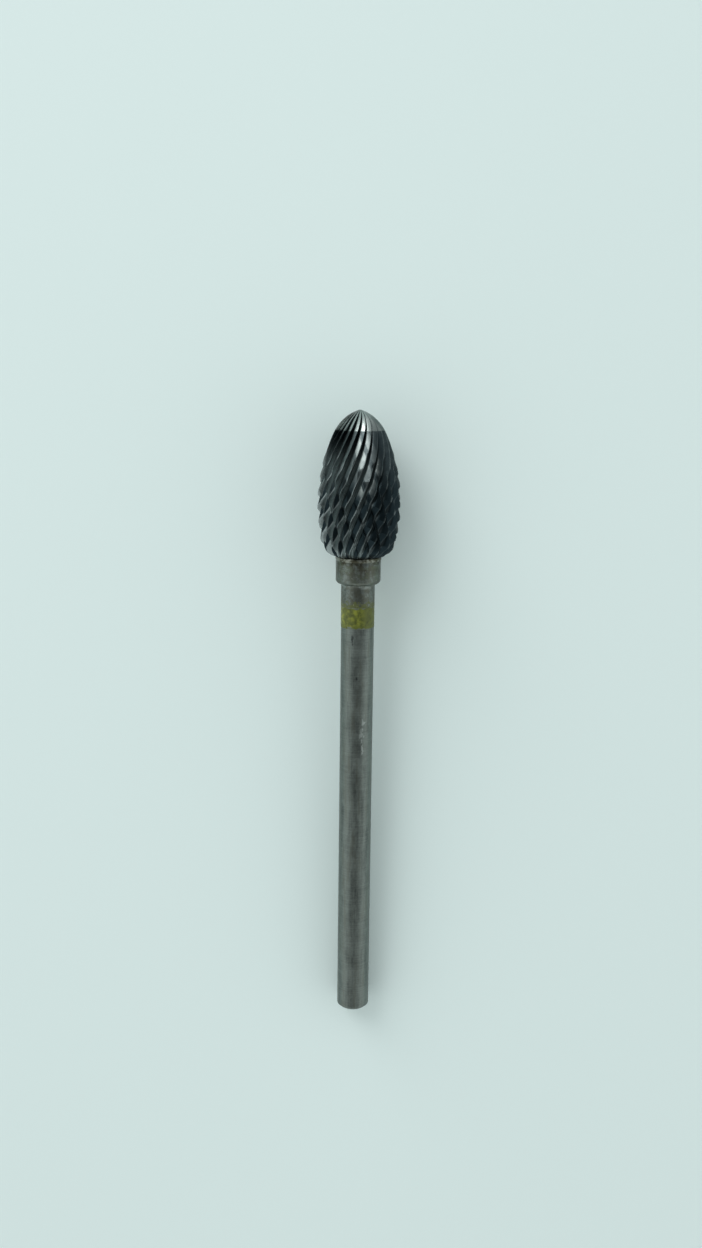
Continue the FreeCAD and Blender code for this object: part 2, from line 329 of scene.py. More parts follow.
class Wire:
    """A socket of a node, so that shader sums are written as ordinary expressions."""

    def __init__(self, sheet, socket):
        self.sheet = sheet
        self.socket = socket

    def math(self, operation, *others):
        """A Math node over this socket and other sockets or numbers."""
        inputs = {index: value for index, value in enumerate((self,) + others)}
        return self.sheet.add("ShaderNodeMath", {"operation": operation}, inputs)

    def __add__(self, other):
        return self.math("ADD", other)

    __radd__ = __add__

    def __mul__(self, other):
        return self.math("MULTIPLY", other)

    __rmul__ = __mul__

    def __sub__(self, other):
        return self.math("SUBTRACT", other)

    def __rsub__(self, other):
        return (self * -1.0) + other

    def __truediv__(self, other):
        return self.math("DIVIDE", other)

    def __rtruediv__(self, other):
        inputs = {0: other, 1: self}
        return self.sheet.add("ShaderNodeMath", {"operation": "DIVIDE"}, inputs)

    def between(self, low, high, at_low=0.0, at_high=1.0):
        """Eases from one value to another as this socket goes from low to high."""
        return self.sheet.add(
            "ShaderNodeMapRange",
            {"interpolation_type": "SMOOTHSTEP"},
            {"Value": self, "From Min": low, "From Max": high, "To Min": at_low, "To Max": at_high},
        )


class NodeSheet:
    """The nodes of a material or of the world, each made by one method."""

    def __init__(self, tree):
        self.nodes = tree.nodes
        self.links = tree.links

    def add(self, kind, settings=None, inputs=None, output=0):
        """One node of a kind, with its settings and its sockets' values or links."""
        node = self.nodes.new(kind)
        for name, value in (settings or {}).items():
            setattr(node, name, value)
        for key, value in (inputs or {}).items():
            self.feed(self.find(node.inputs, key), value)
        return Wire(self, self.find(node.outputs, output))

    @staticmethod
    def find(sockets, key):
        """A socket by its number, identifier or name."""
        if isinstance(key, int):
            return sockets[key]
        for socket in sockets:
            if socket.identifier == key:
                return socket
        return sockets[key]

    def feed(self, socket, value):
        """Links a socket or sets its value."""
        if isinstance(value, Wire):
            self.links.new(value.socket, socket)
        elif socket.type == "RGBA" and len(value) == 3:
            socket.default_value = (*value, 1.0)
        else:
            socket.default_value = value

    def towards(self, point, way):
        """How far a point lies along a direction."""
        inputs = {0: point, 1: Vector(way).normalized()}
        return self.add("ShaderNodeVectorMath", {"operation": "DOT_PRODUCT"}, inputs, "Value")


class Finish(NodeSheet):
    """A surface finish: one Principled material and the nodes that feed it."""

    def __init__(self, name, **fixed):
        self.material = bpy.data.materials.new(name)
        self.material.use_nodes = True
        super().__init__(self.material.node_tree)
        self.surface = self.nodes["Principled BSDF"]
        for socket, value in fixed.items():
            self.surface.inputs[socket.replace("_", " ")].default_value = value

    def set(self, **inputs):
        """Feeds sockets of the Principled shader."""
        for name, value in inputs.items():
            self.feed(self.surface.inputs[name.replace("_", " ")], value)

    def blend(self, factor, first, second):
        """A colour between two colours."""
        inputs = {"Factor_Float": factor, "A_Color": first, "B_Color": second}
        return self.add("ShaderNodeMix", {"data_type": "RGBA"}, inputs, "Result_Color")

    def place(self):
        """A point of the surface in the upright burr's millimetres."""
        back = LYING.inverted()
        moved = back.translation / MM
        inputs = {
            "Vector": self.add("ShaderNodeTexCoord", output="Object"),
            "Location": moved,
            "Rotation": back.to_euler(),
            "Scale": (1 / MM, 1 / MM, 1 / MM),
        }
        return self.add("ShaderNodeMapping", {"vector_type": "POINT"}, inputs)

    def axis(self, point, which):
        """One coordinate of a point: 0, 1 or 2."""
        return self.add("ShaderNodeSeparateXYZ", inputs={"Vector": point}, output=which)

    def stretched(self, point, scale):
        """A point with its coordinates multiplied one by one."""
        inputs = {0: point, 1: scale}
        return self.add("ShaderNodeVectorMath", {"operation": "MULTIPLY"}, inputs)

    def joined(self, x, y, z):
        """A vector from three values."""
        return self.add("ShaderNodeCombineXYZ", inputs={"X": x, "Y": y, "Z": z})

    def noise(self, point, scale, detail=2.0, roughness=0.5):
        """Soft noise over a point, from 0 to 1."""
        inputs = {"Vector": point, "Scale": scale, "Detail": detail, "Roughness": roughness}
        return self.add("ShaderNodeTexNoise", inputs=inputs)

    def spot(self, point, middle, size, ragged):
        """An oval mark round a place, by its half lengths and how ragged it is."""
        wander = self.noise(self.stretched(point, (1.0, 1.0, 0.6)), 6.0, 3.0, 0.6)
        inputs = {0: point, 1: middle}
        away = self.add("ShaderNodeVectorMath", {"operation": "SUBTRACT"}, inputs)
        inputs = {0: away, 1: size}
        away = self.add("ShaderNodeVectorMath", {"operation": "DIVIDE"}, inputs)
        far = self.add("ShaderNodeVectorMath", {"operation": "LENGTH"}, {0: away}, "Value")
        return (far + wander.between(0.3, 0.7, -ragged, ragged)).between(1.0, 0.55)

    def bump(self, height, distance, strength=1.0, normal=None):
        """A surface normal from a height in metres times the distance."""
        inputs = {"Height": height, "Distance": distance, "Strength": strength}
        if normal is not None:
            inputs["Normal"] = normal
        return self.add("ShaderNodeBump", inputs=inputs)


def clear_selection():
    """Leaves edit mode and deselects everything."""
    if bpy.context.mode != "OBJECT":
        bpy.ops.object.mode_set(mode="OBJECT")
    bpy.ops.object.select_all(action="DESELECT")


def pick(piece):
    """Makes one piece the only one selected, and the active one."""
    clear_selection()
    piece.select_set(True)
    bpy.context.view_layer.objects.active = piece


def start_ring(name, points, radius, filled=True):
    """A flat ring of points on the floor of the modelling space, left in edit mode."""
    clear_selection()
    fill = "NGON" if filled else "NOTHING"
    bpy.ops.mesh.primitive_circle_add(vertices=points, radius=radius, fill_type=fill)
    piece = bpy.context.object
    piece.name = name
    bpy.ops.object.mode_set(mode="EDIT")
    bpy.ops.mesh.select_all(action="SELECT")
    return piece


def grow(stations):
    """Extrudes the selected ring through heights and radii; the first station is where it is."""
    height, radius = stations[0]
    for next_height, next_radius in stations[1:]:
        rise = {"value": (0, 0, next_height - height)}
        bpy.ops.mesh.extrude_region_move(TRANSFORM_OT_translate=rise)
        share = next_radius / radius
        middle = (0, 0, next_height)
        bpy.ops.transform.resize(value=(share, share, 1), center_override=middle)
        height, radius = next_height, next_radius


def close_up():
    """Turns the faces of the mesh in edit mode outwards and leaves edit mode."""
    bpy.ops.mesh.select_all(action="SELECT")
    bpy.ops.mesh.normals_make_consistent(inside=False)
    bpy.ops.object.mode_set(mode="OBJECT")


def select_points(piece, wanted):
    """Selects the points of the mesh in edit mode for which wanted is true."""
    bpy.ops.mesh.select_all(action="DESELECT")
    bpy.ops.object.mode_set(mode="OBJECT")
    for point in piece.data.vertices:
        point.select = wanted(point.co)
    bpy.ops.object.mode_set(mode="EDIT")


def modify(piece, kind, **settings):
    """Adds a modifier to a piece and applies it."""
    pick(piece)
    modifier = piece.modifiers.new(kind.title(), kind)
    for name, value in settings.items():
        setattr(modifier, name, value)
    bpy.ops.object.modifier_apply(modifier=modifier.name)


def lay_down(piece, turn=0.0, lift=0.0):
    """Lays an upright piece down where the solids are, with its place in its mesh."""
    pick(piece)
    upright = Matrix.Translation((0, 0, lift)) @ Matrix.Rotation(turn, 4, "Z")
    piece.matrix_world = LYING_IN_MM @ upright
    bpy.ops.object.transform_apply(location=True, rotation=True, scale=True)


def settle(piece, node, finish, smooth=30):
    """Gives a piece its shading, its material and the node that it stands for."""
    pick(piece)
    bpy.ops.object.shade_smooth_by_angle(angle=math.radians(smooth))
    piece.data.materials.clear()
    piece.data.materials.append(finish.material)
    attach(piece, "root")
    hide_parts(node)


def arc(middle, radius, start, end, steps):
    """Stations on an arc in the plane of radius and height, by angles in degrees."""
    stations = []
    for step in range(steps + 1):
        angle = math.radians(start + (end - start) * step / steps)
        height = middle[0] + radius * math.sin(angle)
        stations.append((height, middle[1] + radius * math.cos(angle)))
    return stations


def arc_off_belly(height, radius):
    """Radius of the arc that is square to the belly's circle and passes one more place."""
    inwards = BELLY_RADIUS - radius
    return ((height - BELLY_HEIGHT) ** 2 + inwards**2) / (2 * inwards)


def nose_middle():
    """Height and radius of the centre of the nose's arc."""
    rise = HEAD_LENGTH - NOSE_HEIGHT
    chord = math.hypot(rise, NOSE_RADIUS)
    off = math.sqrt(NOSE_ARC**2 - (chord / 2) ** 2)
    height = NOSE_HEIGHT + rise / 2 - off * NOSE_RADIUS / chord
    return height, NOSE_RADIUS / 2 - off * rise / chord


def heel_circle():
    """Radius and centre of the heel's arc."""
    back = arc_off_belly(HEEL_HEIGHT, HEEL_RADIUS)
    slope = math.asin((BELLY_HEIGHT - HEEL_HEIGHT) / back)
    inward = (math.sin(slope), -math.cos(slope))
    to_seat = (-HEEL_HEIGHT, SEAT_RADIUS - HEEL_RADIUS)
    dip = 2 * (to_seat[0] * inward[0] + to_seat[1] * inward[1])
    radius = (to_seat[0] ** 2 + to_seat[1] ** 2) / dip
    return radius, (HEEL_HEIGHT + radius * inward[0], HEEL_RADIUS + radius * inward[1])


def outline(height):
    """Radius over the head's crests at a height above its seat."""
    if height > NOSE_HEIGHT:
        middle, off_axis = nose_middle()
        return off_axis + math.sqrt(NOSE_ARC**2 - (height - middle) ** 2)
    if height > HEEL_HEIGHT:
        end = (NOSE_HEIGHT, NOSE_RADIUS) if height > BELLY_HEIGHT else (HEEL_HEIGHT, HEEL_RADIUS)
        round_off = arc_off_belly(*end)
        return BELLY_RADIUS - round_off + math.sqrt(round_off**2 - (height - BELLY_HEIGHT) ** 2)
    radius, (middle, off_axis) = heel_circle()
    return off_axis + math.sqrt(radius**2 - (height - middle) ** 2)


def spread(low, high, count):
    """Evenly spaced values from low to high."""
    return [low + (high - low) * step / count for step in range(count + 1)]


def head_stations():
    """Heights and radii at which the head is modelled."""
    heel = [HEEL_HEIGHT * (1 - math.cos(step)) for step in spread(0, math.pi / 2, 12)]
    body = spread(HEEL_HEIGHT, NOSE_HEIGHT, 56)[1:]
    nose = spread(NOSE_HEIGHT, HEAD_LENGTH - NOSE_DOT, 12)[1:]
    return [(height, outline(height)) for height in heel + body + nose]


def along_tooth(share):
    """Radius of the sharp-cornered tooth at a share of the pitch, as a share of the outline."""
    share %= 1.0
    for (start, high), (end, low) in zip(TOOTH_CORNERS, TOOTH_CORNERS[1:]):
        if share <= end:
            return high + (low - high) * (share - start) / (end - start)
    return 1.0


def tooth_radius(place):
    """Radius of one of the tooth's points, with every corner but the crest rounded."""
    if place == 0:
        return 1.0
    share = place / TOOTH_POINTS
    sides = along_tooth(share - TOOTH_ROUNDING) + along_tooth(share + TOOTH_ROUNDING)
    return (sides + 2 * along_tooth(share)) / 4


def cut_teeth(piece, flutes):
    """Moves the ring's points in to the outline of the teeth."""
    step = 2 * math.pi / (flutes * TOOTH_POINTS)
    for place in range(1, TOOTH_POINTS):
        share = tooth_radius(place)
        select_points(
            piece,
            lambda at, place=place: round(math.atan2(at.y, at.x) / step) % TOOTH_POINTS == place,
        )
        bpy.ops.transform.resize(value=(share, share, 1), center_override=(0, 0, 0))
    bpy.ops.mesh.select_all(action="SELECT")


def twist(piece, height, lead):
    """Twists a piece about its own axis, by one turn for each lead of its height."""
    turn = 2 * math.pi * height / lead
    modify(piece, "SIMPLE_DEFORM", deform_method="TWIST", deform_axis="Z", angle=turn)


def turn_at_seat(count, lead):
    """Turn of a spiral's first place at the seat that puts the floor midway between two places."""
    return math.radians(90 - 180 / count - 360 * TOUCH_HEIGHT / lead)


def set_corners(piece, floor, edge, back, mouth):
    """Moves a square ring's four points to a cutter's corners, in radii and half a mouth's angle."""
    side = (edge * math.sin(mouth), -edge * math.cos(mouth))
    bpy.ops.object.mode_set(mode="OBJECT")
    for point in piece.data.vertices:
        if abs(point.co.x) > 0.5:
            point.co.xy = (math.copysign(side[0], point.co.x), side[1])
        else:
            point.co.xy = (0, -floor if point.co.y > 0 else -back)
    bpy.ops.object.mode_set(mode="EDIT")


def move_floor(piece, height, inside, share):
    """Moves a cutter's floor at one height, the point within a radius, by a share of its radius."""
    select_points(
        piece,
        lambda at: abs(at.z - height) < 0.01 and abs(at.x) < 1e-4 and -at.y < inside,
    )
    bpy.ops.transform.resize(value=(share, share, 1), center_override=(0, 0, height))


def make_breakers(sizes):
    """The chip breakers' cutters: left-hand spiral bars, a V towards the axis and round outside."""
    depth = sizes.breaker_depth / MM / BELLY_RADIUS
    reach = STANDS_OUT * depth
    mouth = sizes.breaker_width / MM / 2 / BELLY_RADIUS * (1 + STANDS_OUT)
    lead = -sizes.breaker_lead / MM
    start = HEAD_LENGTH - sizes.breaker_start / MM
    full = start - sizes.breaker_ramp / MM
    heights = spread(-BELOW_SEAT, HEEL_HEIGHT, 8) + spread(HEEL_HEIGHT, full, 12)[1:]
    heights += spread(full, start, 18)[1:]
    stations = [(height, outline(height)) for height in heights]
    low, base = stations[0]
    floor, edge, back = 1 - depth, 1 + reach, (1 + 2 * reach) / math.cos(mouth)

    piece = start_ring("breakers", 4, 1.0)
    bpy.ops.transform.translate(value=(0, 0, low))
    set_corners(piece, floor * base, edge * base, back * base, mouth)
    grow(stations)
    for height, radius in stations:
        if height > full:
            unrisen = (start - height) / (start - full)
            raised = 1 + reach / 2 - unrisen * (depth + reach / 2)
            move_floor(piece, height, radius * (floor + back) / 2, raised / floor)
    bpy.ops.mesh.select_all(action="SELECT")
    last = 2 * math.pi * (sizes.breakers - 1) / sizes.breakers
    bpy.ops.mesh.spin(
        steps=sizes.breakers - 1, dupli=True, angle=last, center=(0, 0, 0), axis=(0, 0, 1)
    )
    close_up()
    twist(piece, start - low, lead)
    first_crest = turn_at_seat(sizes.flutes, sizes.flute_lead / MM)
    piece.rotation_euler.z = math.pi / 2 + turn_at_seat(sizes.breakers, lead) - first_crest
    bpy.ops.object.transform_apply(location=False, rotation=True, scale=False)
    return piece


def mark_outline(piece):
    """Stores the outline's radius at the height of each of the head's points."""
    marks = piece.data.attributes.new("outline", "FLOAT", "POINT")
    for point, mark in zip(piece.data.vertices, marks.data):
        mark.value = outline(min(max(point.co.z, 0.0), HEAD_LENGTH - NOSE_DOT))


def spiral_place(turn, height, count, lead):
    """Where a point of the head lies between the spirals, counted in spirals."""
    first = turn_at_seat(count, lead)
    return (turn - first - height * (2 * math.pi / lead)) * (count / (2 * math.pi))


def off_whole(value):
    """How far a value is from the nearest whole number."""
    return ((value + 0.5).math("FRACT") - 0.5).math("ABSOLUTE")


class CarbideFinish(Finish):
    """The head's carbide, by where a point lies on the head and on its teeth."""

    def __init__(self, colours, sizes):
        super().__init__("carbide", Metallic=1.0)
        self.colours = colours
        self.point = self.place()
        self.height = self.axis(self.point, 2) - HEAD_SEAT
        self.across = self.axis(self.point, 0)
        self.tooth = self.up_tooth()
        turn = self.axis(self.point, 1).math("ARCTAN2", self.across)
        in_flutes = spiral_place(turn, self.height, sizes.flutes, sizes.flute_lead / MM) - FLUTE_MIDDLE
        in_grooves = spiral_place(turn, self.height, sizes.breakers, -sizes.breaker_lead / MM)
        self.flute = off_whole(in_flutes)
        self.groove = off_whole(in_grooves)
        cell = self.joined(in_flutes.math("FLOOR"), in_grooves.math("FLOOR"), 0.0)
        self.each = self.add("ShaderNodeTexWhiteNoise", {"noise_dimensions": "3D"}, {"Vector": cell})

    def up_tooth(self):
        """How far up its tooth a point is, from 0 at the gullet's floor to 1 at the crest."""
        out = self.stretched(self.point, (1.0, 1.0, 0.0))
        radius = self.add("ShaderNodeVectorMath", {"operation": "LENGTH"}, {0: out}, "Value")
        crests = self.add("ShaderNodeAttribute", {"attribute_name": "outline"}, output="Fac")
        return (radius / crests - FLUTE_FLOOR) / (1 - FLUTE_FLOOR)

    def wear_and_painted_light(self, mottle, streaks):
        """How worn and how lit the teeth are painted: real wear on their tips all over, weighted
        brighter on the right as painted light, and painted highlights on their backs towards the nose,
        brighter on the left.
        """
        backs = self.flute.between(0.14, 0.26) * self.height.between(4.4, 6.4)
        tips = self.tooth.between(0.84, 0.98) * self.across.between(-0.5, 1.5, 0.45, 0.85)
        wear_and_painted_light = (backs * self.across.between(0.6, 1.4, 1.0, 0.2)).math("MAXIMUM", tips)
        wear_and_painted_light = wear_and_painted_light * streaks.between(0.25, 0.7, 0.6, 1.0) * mottle.between(0.3, 0.62, 1.0, 0.6)
        return wear_and_painted_light * self.each.between(0.0, 1.0, 0.55, 1.1)

    def painted_highlights(self):
        """Painted highlights: which of the teeth's backs are painted shining, in the patch and between
        the grooves.
        """
        patch = self.spot(self.point, PAINTED_HIGHLIGHT_PATCH, PAINTED_HIGHLIGHT_SIZE, 0.05)
        backs = self.flute.between(0.18, 0.26) * self.groove.between(0.13, 0.20)
        return patch * backs * self.each.between(0.0, 1.0, 0.1, 0.62)

    def flutes(self, streaks):
        """How bright the flutes are painted: a painted highlight towards the heel and on the left,
        where the light from the left shows in them.
        """
        flutes = self.flute.between(0.25, 0.17) * self.height.between(8.6, 6.2)
        flutes = flutes * self.across.between(-1.0, 1.5, 1.0, 0.1)
        return flutes * streaks.between(0.2, 0.7, 0.6, 1.0)

    def facets_and_painted_shade(self):
        """How bright the nose's facets are painted: darker low on the teeth and towards the right, as
        painted shade.
        """
        return self.tooth.between(0.1, 0.7) * self.across.between(0.2, 1.1, 1.0, 0.35)


def carbide_finish(colours, sizes):
    """Dark carbide: painted highlights in the flutes towards the heel and on the teeth's backs, worn
    teeth, and a bright nose.
    """
    finish = CarbideFinish(colours, sizes)
    point = finish.point
    mottle = finish.noise(point, 2.2, 4.0, 0.6)
    streaks = finish.noise(finish.stretched(point, (7.0, 7.0, 1.6)), 3.0, 3.0, 0.6)
    # Painted light in part: worn tips and painted highlights on the backs take the crest colour over
    # the dark gullet colour.
    body = finish.blend(finish.wear_and_painted_light(mottle, streaks), colours.gullet, colours.crest)
    # Painted highlights on the teeth's backs, in the nose's colour.
    body = finish.blend(finish.painted_highlights(), body, colours.nose)
    # Painted highlight in the flutes, towards the heel and on the left.
    body = finish.blend(finish.flutes(streaks), body, colours.flute)

    nose = finish.height.between(NOSE_HEIGHT - NOSE_EDGE, NOSE_HEIGHT + NOSE_EDGE)
    # Painted shade: the nose's facets are darker low on the teeth and towards the right.
    bright = finish.blend(finish.facets_and_painted_shade(), colours.gullet, colours.nose)
    colour = finish.blend(nose, body, bright)
    specks = finish.noise(point, 9.0, 3.0, 0.65)
    dust = specks.between(0.66, 0.74) * finish.tooth.between(0.2, 0.6, 1.0, 0.2)
    colour = finish.blend(dust * 0.3, colour, DUST)
    rough = 0.32 - nose * 0.08 + mottle.between(0.3, 0.7, -0.05, 0.08)
    fine = finish.noise(finish.stretched(point, (1.0, 1.0, 0.5)), 24.0, 2.0, 0.6)
    finish.set(Base_Color=colour, Roughness=rough, Normal=finish.bump(fine, 0.000006, 0.6))
    return finish


class SteelFinish(Finish):
    """The turned part's steel, by how far along the burr a point is."""

    def __init__(self, colours):
        super().__init__("ground_steel")
        self.colours = colours
        self.point = self.place()
        self.along = self.axis(self.point, 2)
        self.lines = self.noise(self.stretched(self.point, (0.5, 0.5, 22.0)), 1.0, 4.0, 0.65)
        self.streaks = self.noise(self.stretched(self.point, (3.4, 3.4, 0.28)), 1.0, 4.0, 0.6)
        self.clouds = self.noise(self.stretched(self.point, (1.0, 1.0, 0.6)), 1.1, 4.0, 0.6)
        self.olive = self.noise(self.stretched(self.point, (1.0, 1.0, 1.6)), 2.7, 4.0, 0.6)
        self.mottle = self.noise(self.point, 1.9, 5.0, 0.68)
        self.grit = self.noise(self.point, 7.0, 4.0, 0.7)
        self.collar = self.along.between(COLLAR_FOOT - 0.05, COLLAR_FOOT + 0.02)

    def ground(self):
        """Grey steel with faint lines round it, streaks along it and a little stain."""
        shade = self.lines.between(0.3, 0.7, -0.14, 0.14) + self.clouds.between(0.3, 0.7, -0.16, 0.16)
        shade = shade + self.streaks.between(0.3, 0.7, -0.24, 0.24)
        shade = shade + self.grit.between(0.3, 0.7, -0.12, 0.12)
        dark = tuple(0.55 * part for part in self.colours.steel)
        light = tuple(1.45 * part for part in self.colours.steel)
        colour = self.blend(shade + 0.5, dark, light)
        return self.blend(self.streaks.between(0.5, 0.66, 0.0, 0.4), colour, self.colours.stain)

    def stain_collar(self, colour):
        """Adds heat stain, an olive film and bare specks to the collar, and painted shade at its top
        under the head's rim.
        """
        heat = self.along.between(COLLAR_FOOT, COLLAR_TOP, 0.45, 0.95) * self.mottle.between(0.36, 0.58)
        colour = self.blend(heat * self.collar, colour, self.colours.stain)
        film = self.olive.between(0.48, 0.64, 0.0, 0.55)
        colour = self.blend(film * self.collar, colour, OLIVE_FILM)
        specks = self.noise(self.point, 4.5, 4.0, 0.7).between(0.60, 0.72, 0.0, 0.6)
        colour = self.blend(specks * self.collar, colour, BARE_SPECKS)
        # Painted shade: a dark band at the collar's top, under the head's rim.
        shade_under_head = self.along.between(COLLAR_TOP - 0.42, COLLAR_TOP - 0.22)
        return self.blend(shade_under_head * self.mottle.between(0.44, 0.60, 0.2, 0.8), colour, PAINTED_SHADE_UNDER_HEAD)

    def stain_neck(self, colour):
        """Adds a bright ring below the collar, and patches of heat stain to the neck."""
        ring = self.along.between(COLLAR_FOOT - 0.34, COLLAR_FOOT - 0.14) - self.collar
        colour = self.blend(ring.math("MAXIMUM", 0.0) * 0.6, colour, POLISHED_RING)
        neck = self.along.between(NECK_FOOT - 0.02, NECK_FOOT + 0.02) - self.collar
        patches = neck.math("MAXIMUM", 0.0) * self.mottle.between(0.40, 0.56, 0.0, 0.6)
        return self.blend(patches, colour, self.colours.stain)

    def mark_shank(self, colour):
        """Adds the stains and the scuffs on the shank."""
        for middle, size, strength, ragged, tone in STEEL_MARKS:
            colour = self.blend(self.spot(self.point, middle, size, ragged) * strength, colour, tone)
        return colour

    def residue(self):
        """Where paint is left on the neck, up to a ragged edge above the band."""
        rim = self.along + self.olive.between(0.3, 0.7, -0.22, 0.22)
        rim = rim + self.grit.between(0.3, 0.7, -0.16, 0.16)
        below = rim.between(NECK_FOOT + 0.38, NECK_FOOT + 0.24)
        return below * self.along.between(NECK_FOOT - 0.02, NECK_FOOT)


def steel_finish(colours):
    """Ground steel: faint lines round it, heat stain by the braze, paint residue, stains, scuffs."""
    finish = SteelFinish(colours)
    colour = finish.stain_neck(finish.stain_collar(finish.ground()))
    colour = finish.mark_shank(colour)
    residue = finish.residue()
    colour = finish.blend(residue * 0.8, colour, tuple(0.8 * part for part in colours.paint))
    flecks = finish.noise(finish.point, 9.0, 3.0, 0.7).between(0.62, 0.70)
    colour = finish.blend(flecks * residue * 0.7, colour, PAINT_FLECKS)
    rough = 0.38 + finish.clouds.between(0.3, 0.7, -0.05, 0.07)
    rough = rough + finish.grit.between(0.3, 0.7, -0.05, 0.05)
    surface = finish.bump(finish.lines, 0.000002, 0.4)
    finish.set(
        Base_Color=colour,
        Metallic=1.0 - residue * 0.75,
        Roughness=rough + residue * 0.12,
        Normal=finish.bump(finish.grit, 0.000006, 0.5, surface),
    )
    return finish


def braze_finish(colours):
    """Dull braze with a darker oxide in patches."""
    finish = Finish("braze", Metallic=1.0)
    point = finish.place()
    patches = finish.noise(point, 2.2, 4.0, 0.6)
    colour = finish.blend(patches.between(0.42, 0.60), colours.braze, colours.stain)
    grain = finish.noise(point, 14.0, 3.0, 0.6)
    finish.set(
        Base_Color=colour,
        Roughness=patches.between(0.3, 0.7, 0.35, 0.55),
        Normal=finish.bump(grain, 0.00001, 0.6),
    )
    return finish


def paint_finish(colours, length):
    """Satin paint with brighter blotches, more of them on the left as painted light, rubbed off to the
    steel along ragged edges.
    """
    finish = Finish("band_paint", Specular_IOR_Level=0.35)
    point = finish.place()
    along = finish.axis(point, 2)
    specks = finish.noise(point, 3.2, 2.5, 0.55)
    blotches = finish.noise(finish.stretched(point, (1.0, 1.0, 1.3)), 2.6, 4.0, 0.65)
    clouds = finish.noise(point, 1.3, 3.0, 0.6)
    dark = tuple(0.6 * part for part in colours.paint)
    colour = finish.blend(blotches.between(0.36, 0.56), dark, colours.paint)
    # Partly painted light: the brighter paint blotches are real, but they are weighted towards the left
    # side, where the light falls.
    left = finish.axis(point, 0).between(-0.3, 0.7, 0.75, 0.12)
    colour = finish.blend(specks.between(0.42, 0.70) * left, colour, colours.fresh_paint)
    colour = finish.blend(clouds.between(0.45, 0.7, 0.0, 0.3), colour, dark)
    wander = specks.between(0.3, 0.7, -0.09, 0.09) + clouds.between(0.3, 0.7, -0.07, 0.07)
    half = length / 2
    from_middle = (along - (NECK_FOOT - half)).math("ABSOLUTE") + wander
    bare = from_middle.between(half - 0.09, half - 0.02)
    colour = finish.blend(bare * 0.8, colour, colours.steel)
    finish.set(
        Base_Color=colour,
        Metallic=bare * 0.8,
        Roughness=clouds.between(0.3, 0.7, 0.36, 0.48),
        Normal=finish.bump(specks, 0.00001, 0.7),
    )
    return finish


class BURR_OT_head(bpy.types.Operator):
    """Model the cutting head with its flutes and chip breakers"""

    bl_idname = "burr.head"
    bl_label = "Cutting head"

    def execute(self, context):
        sizes = context.scene.burr_sizes
        stations = head_stations()
        piece = start_ring("carbide_head", sizes.flutes * TOOTH_POINTS, stations[0][1])
        cut_teeth(piece, sizes.flutes)
        grow(stations)
        close_up()
        twist(piece, stations[-1][0], sizes.flute_lead / MM)
        cutters = make_breakers(sizes)
        modify(piece, "BOOLEAN", operation="DIFFERENCE", solver="EXACT", object=cutters)
        bpy.data.objects.remove(cutters)
        mark_outline(piece)
        lay_down(piece, turn_at_seat(sizes.flutes, sizes.flute_lead / MM), HEAD_SEAT)
        finish = carbide_finish(context.scene.burr_colours, sizes)
        settle(piece, "cutting_head", finish, smooth=24)
        return {"FINISHED"}


class BURR_OT_shank(bpy.types.Operator):
    """Model the shank with its neck and collar"""

    bl_idname = "burr.shank"
    bl_label = "Shank"

    def execute(self, context):
        tail = SHANK_RADIUS - TAIL_CHAMFER
        edge_height = 0.06
        edge_inset = 0.01
        end_ring = 0.3
        neck_slope = 0.02
        neck_lip = 0.004
        rim_ring = 0.2
        stations = [(0.0, tail)]
        stations += arc((edge_height, tail - edge_inset), EDGE_ROUND, -60, -30, 3)
        stations += arc((TAIL_CHAMFER, SHANK_RADIUS - EDGE_ROUND), EDGE_ROUND, -30, 0, 4)
        plain = spread(TAIL_CHAMFER + end_ring, NECK_FOOT - end_ring, 30)
        stations += [(height, SHANK_RADIUS) for height in plain]
        stations += [(NECK_FOOT - neck_slope, SHANK_RADIUS), (NECK_FOOT, NECK_RADIUS - neck_lip)]
        stations += [(NECK_FOOT + neck_slope, NECK_RADIUS), (COLLAR_FOOT - NECK_FILLET, NECK_RADIUS)]
        fillet = (COLLAR_FOOT - NECK_FILLET, NECK_RADIUS + NECK_FILLET)
        stations += arc(fillet, NECK_FILLET, 180, 90, 5)[1:]
        foot = (COLLAR_FOOT + COLLAR_ROUND, COLLAR_RADIUS - COLLAR_ROUND)
        stations += arc(foot, COLLAR_ROUND, -90, 0, 9)
        chamfer = COLLAR_TOP - SEAT_CHAMFER
        stations += [(chamfer - rim_ring, COLLAR_RADIUS), (chamfer, COLLAR_RADIUS)]
        stations += [(COLLAR_TOP, COLLAR_RADIUS - SEAT_CHAMFER)]
        piece = start_ring("turned_shank", 128, stations[0][1])
        grow(stations)
        close_up()
        lay_down(piece)
        settle(piece, "shank", steel_finish(context.scene.burr_colours))
        return {"FINISHED"}


class BURR_OT_braze(bpy.types.Operator):
    """Model the braze between the collar and the head"""

    bl_idname = "burr.braze"
    bl_label = "Braze"

    def execute(self, context):
        low = COLLAR_TOP - SEAT_CHAMFER
        stations = [(low + rise, COLLAR_RADIUS + out) for rise, out in BEAD_PROFILE]
        piece = start_ring("braze_bead", 96, stations[0][1])
        bpy.ops.transform.translate(value=(0, 0, low))
        grow(stations)
        close_up()
        for point in piece.data.vertices:
            if math.hypot(point.co.x, point.co.y) > BEAD_RIM:
                turn = math.atan2(point.co.y, point.co.x)
                waves = sum(size * math.sin(count * turn + first) for size, count, first in BEAD_WAVES)
                point.co.xy *= 1 + BEAD_SWELL * (waves + BEAD_LEVEL)
        lay_down(piece)
        settle(piece, "braze_joint", braze_finish(context.scene.burr_colours), smooth=40)
        return {"FINISHED"}


